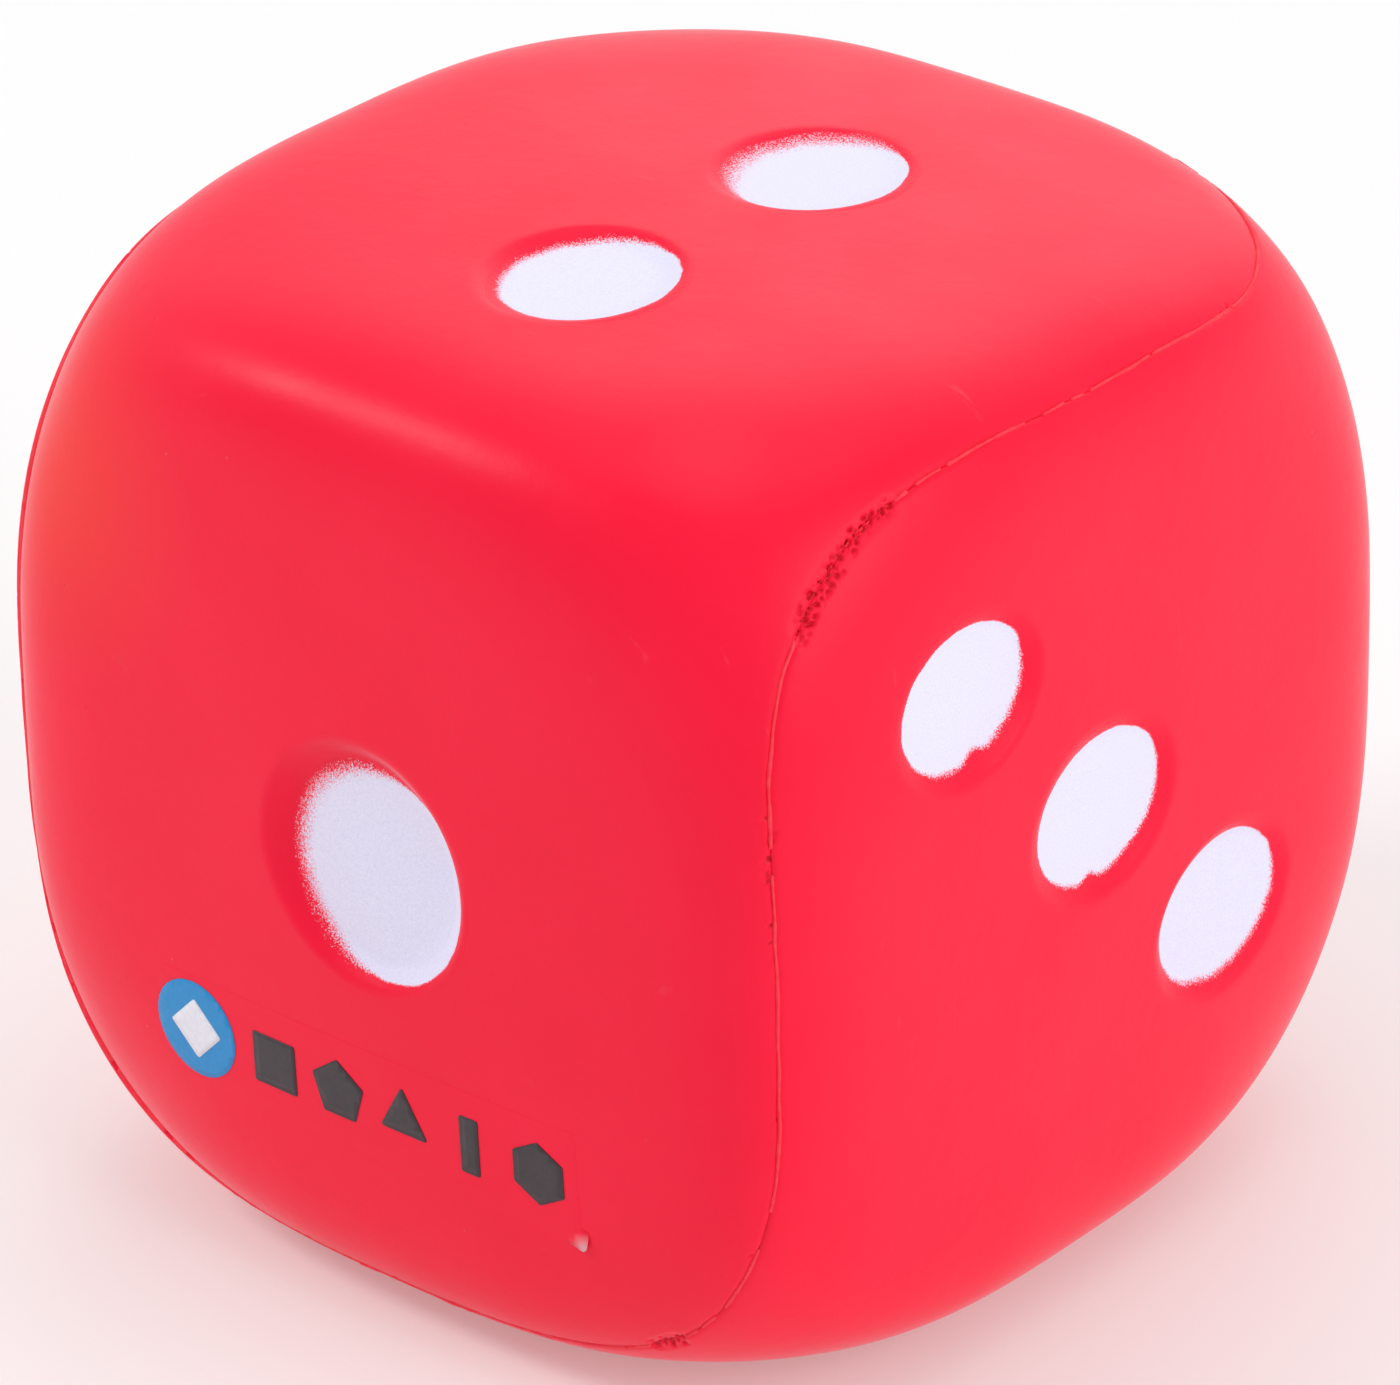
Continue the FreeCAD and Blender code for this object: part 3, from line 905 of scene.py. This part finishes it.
class Nodes:
    """A material under construction."""

    def __init__(self, name):
        self.material = bpy.data.materials.new(name)
        self.material.use_nodes = True
        self.tree = self.material.node_tree
        self.shader = self.tree.nodes["Principled BSDF"]
        self.place = self.new("TexCoord").outputs["Object"]

    def new(self, kind, **inputs):
        """A node of a kind, with values for its inputs."""
        node = self.tree.nodes.new("ShaderNode" + kind)
        for key, value in inputs.items():
            node.inputs[key.replace("_", " ")].default_value = value
        return node

    def link(self, source, target):
        self.tree.links.new(source, target)

    def feed(self, key, source):
        """Joins a value to an input of the shader."""
        self.link(source, self.shader.inputs[key])

    def set(self, **values):
        for key, value in values.items():
            self.shader.inputs[key.replace("_", " ")].default_value = value

    def noise(self, size, detail=2.0, roughness=0.5, stretch=None):
        """Noise with lumps of a size in metres, from 0 to 1."""
        node = self.new("TexNoise", Scale=1.0 / size, Detail=detail, Roughness=roughness)
        place = self.place
        if stretch:
            mapping = self.new("Mapping", Rotation=stretch[0], Scale=stretch[1])
            self.link(self.place, mapping.inputs["Vector"])
            place = mapping.outputs["Vector"]
        self.link(place, node.inputs["Vector"])
        return node.outputs["Fac"]

    def cells(self, size):
        """Distance from scattered points, in parts of the size in metres."""
        node = self.new("TexVoronoi", Scale=1.0 / size)
        self.link(self.place, node.inputs["Vector"])
        return node.outputs["Distance"]

    def span(self, value, low, high, to_low=0.0, to_high=1.0):
        """A value's range mapped to another range."""
        node = self.new("MapRange", From_Min=low, From_Max=high, To_Min=to_low, To_Max=to_high)
        self.link(value, node.inputs["Value"])
        return node.outputs["Result"]

    def math(self, operation, a, b=None):
        node = self.new("Math")
        node.operation = operation
        for socket, value in zip(node.inputs, (a, b)):
            if isinstance(value, (int, float)):
                socket.default_value = value
            elif value is not None:
                self.link(value, socket)
        return node.outputs["Value"]

    def mix(self, factor, a, b):
        """A mix of two colours, each a tuple or a socket."""
        node = self.new("Mix")
        node.data_type = "RGBA"
        self.link(factor, node.inputs[0])
        for socket, value in ((node.inputs[6], a), (node.inputs[7], b)):
            if isinstance(value, tuple):
                socket.default_value = (*value, 1.0)
            else:
                self.link(value, socket)
        return node.outputs[2]

    def attribute(self, name):
        node = self.new("Attribute")
        node.attribute_name = name
        return node.outputs["Fac"]

    def away_from(self, point):
        """Distance in metres from a point of the die."""
        node = self.new("VectorMath")
        node.operation = "DISTANCE"
        node.inputs[1].default_value = point
        self.link(self.place, node.inputs[0])
        return node.outputs["Value"]

    def bump(self, height, strength, distance, below=None):
        node = self.new("Bump", Strength=strength, Distance=distance)
        self.link(height, node.inputs["Height"])
        if below is not None:
            self.link(below, node.inputs["Normal"])
        return node.outputs["Normal"]


RED = (0.96, 0.0065, 0.044)
RED_DEEP = (0.93, 0.0050, 0.039)
RED_WARM = (0.93, 0.040, 0.028)
RED_PALE = (0.96, 0.13, 0.17)
RED_CELL = (0.74, 0.004, 0.028)


def foam_colour(nodes):
    """The moulded foam's colour: slow mottling, a warmer and a paler patch, scuffs, dust and pinholes."""
    colour = nodes.mix(nodes.span(nodes.noise(0.035, 3.0), 0.35, 0.65), RED, RED_DEEP)
    patch = nodes.away_from((-0.062, -0.078, 0.125))
    colour = nodes.mix(nodes.span(patch, 0.004, 0.034, 0.8, 0.0), colour, RED_WARM)
    blotch = nodes.away_from((0.052, -0.058, 0.159))
    colour = nodes.mix(nodes.span(blotch, 0.002, 0.012, 0.10, 0.0), colour, RED_PALE)
    scuffs = nodes.noise(0.012, 3.0, 0.6, ((0.4, 0.2, 0.7), (1.0, 6.0, 1.0)))
    colour = nodes.mix(nodes.span(scuffs, 0.70, 0.80, 0.0, 0.22), colour, RED_PALE)
    dust = nodes.span(nodes.cells(0.0105), 0.012, 0.024, 0.75, 0.0)
    colour = nodes.mix(dust, colour, RED_PALE)
    holes = nodes.span(nodes.cells(0.0163), 0.008, 0.016, 0.7, 0.0)
    return nodes.mix(holes, colour, RED_CELL)


def foam_relief(nodes):
    """The moulded skin's fine orange peel and grain."""
    peel = nodes.bump(nodes.noise(0.0030, 2.0), 0.25, 0.0002)
    return nodes.bump(nodes.noise(0.00045, 3.0, 0.7), 0.35, 0.00006, peel)


def foam_finish(nodes):
    """The soft, dusty gloss of the moulded skin."""
    nodes.set(Specular_IOR_Level=0.17)
    nodes.set(Sheen_Weight=0.21, Sheen_Roughness=0.36, Sheen_Tint=(1.0, 0.94, 1.0, 1.0))


def foam_skin():
    nodes = Nodes("moulded_foam_skin")
    foam_finish(nodes)
    pit = nodes.attribute("pit")
    nodes.feed("Base Color", nodes.mix(nodes.span(pit, 0.15, 0.75), foam_colour(nodes), RED_CELL))
    nodes.feed("Roughness", nodes.span(nodes.noise(0.02, 4.0), 0.3, 0.7, 0.33, 0.42))
    nodes.feed("Normal", foam_relief(nodes))
    return nodes.material


def foam_flash():
    nodes = Nodes("parting_line_foam")
    pale = nodes.span(nodes.noise(0.0016, 3.0, 0.6), 0.35, 0.65)
    nodes.feed("Base Color", nodes.mix(pale, (0.93, 0.008, 0.042), (0.95, 0.035, 0.065)))
    nodes.feed("Roughness", nodes.span(nodes.noise(0.004), 0.3, 0.7, 0.5, 0.65))
    nodes.feed("Normal", nodes.bump(nodes.noise(0.0004, 3.0), 0.5, 0.0001))
    return nodes.material


def foam_cells():
    nodes = Nodes("open_foam_cells")
    cell = nodes.span(nodes.cells(0.0009), 0.1, 0.7)
    nodes.feed("Base Color", nodes.mix(cell, RED_CELL, (0.88, 0.06, 0.09)))
    nodes.feed("Roughness", nodes.span(nodes.noise(0.002), 0.3, 0.7, 0.75, 0.9))
    nodes.feed("Normal", nodes.bump(cell, 0.9, 0.0005))
    return nodes.material


def sprayed_paint():
    """White paint over the foam. Its cover thins out in grains towards the edge."""
    nodes = Nodes("sprayed_white_paint")
    foam_finish(nodes)
    grain = nodes.math("SUBTRACT", nodes.noise(0.00027, 2.0, 0.6), 0.5)
    cover = nodes.math("MULTIPLY_ADD", grain, 3.4)
    nodes.link(nodes.attribute("cover"), cover.node.inputs[2])
    cover = nodes.span(cover, -0.5, 0.5)
    coat = nodes.span(nodes.noise(0.00032, 2.0, 0.6), 0.30, 0.70)
    white = nodes.mix(coat, (0.83, 0.82, 0.98), (0.75, 0.735, 0.94))
    specks = nodes.span(nodes.cells(0.0021), 0.035, 0.075, 0.55, 0.0)
    chosen = nodes.math("MULTIPLY", specks, nodes.span(nodes.noise(0.004), 0.52, 0.60))
    white = nodes.mix(chosen, white, (0.55, 0.35, 0.42))
    nodes.feed("Base Color", nodes.mix(cover, foam_colour(nodes), white))
    nodes.feed("Roughness", nodes.span(cover, 0.0, 1.0, 0.45, 0.62))
    grit = nodes.bump(nodes.noise(0.0005, 3.0, 0.6), 0.5, 0.00012, foam_relief(nodes))
    nodes.feed("Normal", grit)
    return nodes.material


def clear_film():
    """Clear film on the foam: the foam's red seen through a smoother surface, whitish where it is loose."""
    nodes = Nodes("clear_decal_film")
    foam_finish(nodes)
    loose = nodes.span(nodes.attribute("peel"), 0.05, 0.7, 0.0, 0.7)
    nodes.feed("Base Color", nodes.mix(loose, foam_colour(nodes), (0.80, 0.62, 0.66)))
    nodes.feed("Roughness", nodes.span(nodes.noise(0.006, 3.0), 0.3, 0.7, 0.34, 0.42))
    nodes.feed("Normal", nodes.bump(nodes.noise(0.0030, 2.0), 0.2, 0.0002))
    return nodes.material


def printed_ink(name, light, dark, rough):
    """Ink printed on the film, with a little wear and grain."""
    nodes = Nodes(name)
    worn = nodes.span(nodes.noise(0.0009, 4.0, 0.7), 0.35, 0.70)
    nodes.feed("Base Color", nodes.mix(worn, light, dark))
    nodes.feed("Roughness", nodes.span(nodes.noise(0.004), 0.3, 0.7, rough - 0.05, rough + 0.05))
    nodes.feed("Normal", nodes.bump(nodes.noise(0.0006, 3.0), 0.3, 0.00005))
    return nodes.material


# ------------------------------------------------------- stage

AZIMUTH = math.radians(40.80)
ELEVATION = math.radians(27.76)
ROLL = math.radians(-1.205)
CAMERA_TARGET = Vector((0.0023, 0.0003, -0.0022))
CAMERA_DISTANCE = 1.2822
FOCAL_SHARE = 6.0305
LENS_SHIFT = (-0.0095, 0.0006)
SENSOR = 36.0
FLOOR_REACH = 4.0
FLOOR_GAP = 0.0001
SKY = 0.59


def build_camera():
    level_part = math.cos(ELEVATION)
    forward = Vector((-math.sin(AZIMUTH) * level_part, math.cos(AZIMUTH) * level_part, -math.sin(ELEVATION)))
    level = forward.cross(Vector((0, 0, 1))).normalized()
    upright = level.cross(forward)
    right = level * math.cos(ROLL) + upright * math.sin(ROLL)
    up = upright * math.cos(ROLL) - level * math.sin(ROLL)
    data = bpy.data.cameras.new("camera")
    data.sensor_width = SENSOR
    data.lens = FOCAL_SHARE * SENSOR
    data.shift_x, data.shift_y = LENS_SHIFT
    data.clip_start = 0.01
    camera = bpy.data.objects.new("camera", data)
    bpy.context.scene.collection.objects.link(camera)
    turn = Matrix((right, up, -forward)).transposed().to_4x4()
    target = Vector(MIDDLE) + CAMERA_TARGET
    camera.matrix_world = Matrix.Translation(target - forward * CAMERA_DISTANCE) @ turn
    bpy.context.scene.camera = camera


def soft_box(name, place, size, power):
    """A large rectangular light that looks at the die."""
    data = bpy.data.lights.new(name, "AREA")
    data.shape = "RECTANGLE"
    data.size, data.size_y = size
    data.energy = power
    light = bpy.data.objects.new(name, data)
    bpy.context.scene.collection.objects.link(light)
    place = Vector(place)
    turn = (place - Vector(MIDDLE)).to_track_quat("Z", "Y").to_matrix().to_4x4()
    light.matrix_world = Matrix.Translation(place) @ turn


def build_stage():
    """A plain white floor, even white surroundings and soft boxes."""
    level = CAD_LOW.z - FLOOR_GAP
    corners = [(x * FLOOR_REACH, y * FLOOR_REACH, level) for x, y in ((-1, -1), (1, -1), (1, 1), (-1, 1))]
    mesh = bpy.data.meshes.new("floor")
    mesh.from_pydata(corners, [], [(0, 1, 2, 3)])
    nodes = Nodes("white_floor")
    nodes.set(Base_Color=(0.70, 0.70, 0.70, 1.0), Roughness=0.9)
    nodes.set(Emission_Color=(1.0, 1.0, 1.0, 1.0), Emission_Strength=0.22)
    mesh.materials.append(nodes.material)
    floor = bpy.data.objects.new("floor", mesh)
    bpy.context.scene.collection.objects.link(floor)

    world = bpy.data.worlds.new("surroundings")
    world.use_nodes = True
    world.node_tree.nodes["Background"].inputs["Color"].default_value = (1.0, 1.0, 1.0, 1.0)
    world.node_tree.nodes["Background"].inputs["Strength"].default_value = SKY
    bpy.context.scene.world = world
    soft_box("back_box", (-0.30, 1.45, 1.05), (1.9, 0.9), 6.0)
    soft_box("top_box", (0.0, 0.15, 1.65), (1.0, 1.0), 3.0)
    soft_box("left_box", (-1.0, -0.80, 1.20), (0.5, 0.5), 9.0)
    soft_box("right_box", (1.7, 0.1, 0.8), (1.2, 1.2), 13.0)

    view = bpy.context.scene.view_settings
    view.view_transform = "Standard"
    view.look = "None"


build_camera()
build_stage()
skin_material = foam_skin()
seam = seam_path(SEAM_STEP)
build_skins(seam, skin_material)
build_core(foam_cells())
build_flash(seam, foam_flash())
paint_material = sprayed_paint()
for face_name, face_pips in PIPS.items():
    for pip_number, pip_spot in enumerate(face_pips, start=1):
        build_pip(face_name, pip_number, pip_spot, paint_material)
build_decal({
    "film": clear_film(),
    "blue": printed_ink("decal_blue_ink", (0.004, 0.28, 0.64), (0.002, 0.23, 0.58), 0.40),
    "white": printed_ink("decal_white_ink", (0.85, 0.85, 0.92), (0.76, 0.76, 0.86), 0.42),
    "ink": printed_ink("decal_charcoal_ink", (0.028, 0.022, 0.028), (0.042, 0.030, 0.036), 0.42),
})
